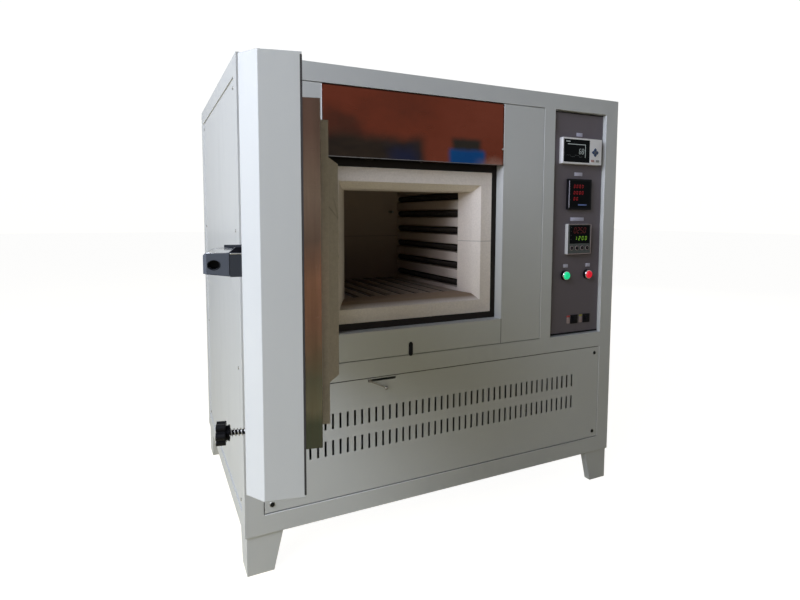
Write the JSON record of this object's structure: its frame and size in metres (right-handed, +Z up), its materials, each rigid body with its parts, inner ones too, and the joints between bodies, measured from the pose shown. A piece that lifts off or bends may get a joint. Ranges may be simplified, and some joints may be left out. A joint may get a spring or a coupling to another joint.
{
  "type": "box furnace",
  "caption": "Free-standing laboratory box furnace with side-hinged plug door, grooved refractory chamber, control panel and vented base on feet",
  "frame": {"origin": "centre of the cabinet's footprint, on the floor under the feet", "axes": "+X to the right seen from the front, +Y from the front to the back, +Z up"},
  "size_m": [1.3372, 1.4691, 1.255],
  "materials": {
    "enamel": "light grey powder coat, fine texture, satin",
    "dark_enamel": "dark warm grey powder coat, satin",
    "steel": "brushed stainless, satin",
    "heat_plate": "polished stainless tinted brown by heat",
    "zinc": "zinc-plated sheet, dull",
    "refractory": "beige fired refractory, matt",
    "fibre": "white ceramic fibre board, matt",
    "heater": "oxidised resistance alloy, dull",
    "white_plastic": "off-white moulded bezel",
    "grey_plastic": "grey moulded bezel",
    "black_plastic": "black moulded plastic",
    "handle_grey": "dark blue-grey moulded plastic",
    "window": "dark glossy display window",
    "green_lens": "green moulded lens",
    "red_lens": "red moulded lens",
    "chrome": "bright plated",
    "spring_steel": "bare spring steel",
    "brass": "nickel brass gland",
    "aluminium": "extruded heat sink"
  },
  "bodies": {
    "cabinet": {"front_frame": "enamel", "rear_frame": "enamel", "side_rails": "enamel", "casing_rails": "zinc", "feet": "enamel", "top_cover": "enamel", "base_plate": "enamel", "left_side_panel": "enamel", "right_side_panel": "enamel", "rear_panel": "enamel", "cable_gland": "brass", "door_surround_panel": "enamel", "lintel_plate": "heat_plate", "door_sensor": "black_plastic", "mouth_frame": "steel", "mouth_block_top": "refractory", "mouth_block_bottom": "refractory", "mouth_block_left": "refractory", "mouth_block_right": "refractory", "chamber_floor": "refractory", "chamber_roof": "refractory", "chamber_left_wall": "refractory", "chamber_right_wall": "refractory", "chamber_rear_wall": "refractory", "side_heaters": "heater", "floor_heaters": "heater", "thermocouple": "steel", "insulation_boards": "fibre", "inner_casing": "zinc", "vent_panel": "enamel", "vent_panel_screws": "steel", "control_plate": "dark_enamel", "recorder_case": "white_plastic", "power_meter_case": "black_plastic", "controller_case": "grey_plastic", "display_windows": "window", "button_bezels": "chrome", "fuse_holders": "black_plastic", "electrical_plate": "zinc", "contactor": "black_plastic", "power_regulator": "aluminium", "hinge_brackets": "steel"},
    "door": {"door_shell": "enamel", "door_insulation": "fibre", "door_tray": "heat_plate", "door_rim": "refractory", "door_plug": "refractory", "handle_base": "black_plastic", "knob_spring": "spring_steel"},
    "grip": {"handle_grip": "handle_grey"},
    "bolt": {"latch_bolt": "steel"},
    "washer": {"spring_washer": "steel"},
    "knob": {"star_knob": "black_plastic"},
    "start_button": {"start_button": "green_lens"},
    "stop_button": {"stop_button": "red_lens"},
    "air_lever": {"air_lever": "steel"},
    "key_1": {"controller_key_1": "grey_plastic"},
    "key_2": {"controller_key_2": "grey_plastic"},
    "key_3": {"controller_key_3": "grey_plastic"},
    "key_4": {"controller_key_4": "grey_plastic"}
  },
  "joints": [
    {"name": "door_hinge", "type": "hinge", "parent": "cabinet", "child": "door", "pos_m": [-0.499, -0.4085, 0.806], "axis": [0, 0, 1], "range_deg": [-18, 102]},
    {"name": "grip_pivot", "type": "hinge", "parent": "door", "child": "grip", "pos_m": [-0.69313, -0.91828, 0.8272], "axis": [0, 0, -1], "range_deg": [0, 30], "stiffness_Nm_per_rad": 1.5},
    {"name": "bolt_slide", "type": "slide", "parent": "door", "child": "bolt", "axis": [0, 0, -1], "range_m": [0, 0.0128], "stiffness_N_per_m": 60},
    {"name": "knob_push", "type": "slide", "parent": "door", "child": "washer", "axis": [0.9781, -0.2079, 0], "range_m": [0, 0.008], "stiffness_N_per_m": 1500, "deforming": ["knob_spring"]},
    {"name": "knob_turn", "type": "hinge", "parent": "washer", "child": "knob", "pos_m": [-0.71341, -1.01416, 0.623], "axis": [-0.9781, 0.2079, 0], "range_deg": [0, 90]},
    {"name": "start_press", "type": "slide", "parent": "cabinet", "child": "start_button", "axis": [0, 1, 0], "range_m": [0, 0.0035], "stiffness_N_per_m": 500},
    {"name": "stop_press", "type": "slide", "parent": "cabinet", "child": "stop_button", "axis": [0, 1, 0], "range_m": [0, 0.0035], "stiffness_N_per_m": 500},
    {"name": "air_slide", "type": "slide", "parent": "cabinet", "child": "air_lever", "axis": [1, 0, 0], "range_m": [0, 0.0744]},
    {"name": "key_1_press", "type": "slide", "parent": "cabinet", "child": "key_1", "axis": [0, 1, 0], "range_m": [0, 0.0008], "stiffness_N_per_m": 800},
    {"name": "key_2_press", "type": "slide", "parent": "cabinet", "child": "key_2", "axis": [0, 1, 0], "range_m": [0, 0.0008], "stiffness_N_per_m": 800},
    {"name": "key_3_press", "type": "slide", "parent": "cabinet", "child": "key_3", "axis": [0, 1, 0], "range_m": [0, 0.0008], "stiffness_N_per_m": 800},
    {"name": "key_4_press", "type": "slide", "parent": "cabinet", "child": "key_4", "axis": [0, 1, 0], "range_m": [0, 0.0008], "stiffness_N_per_m": 800}
  ]
}
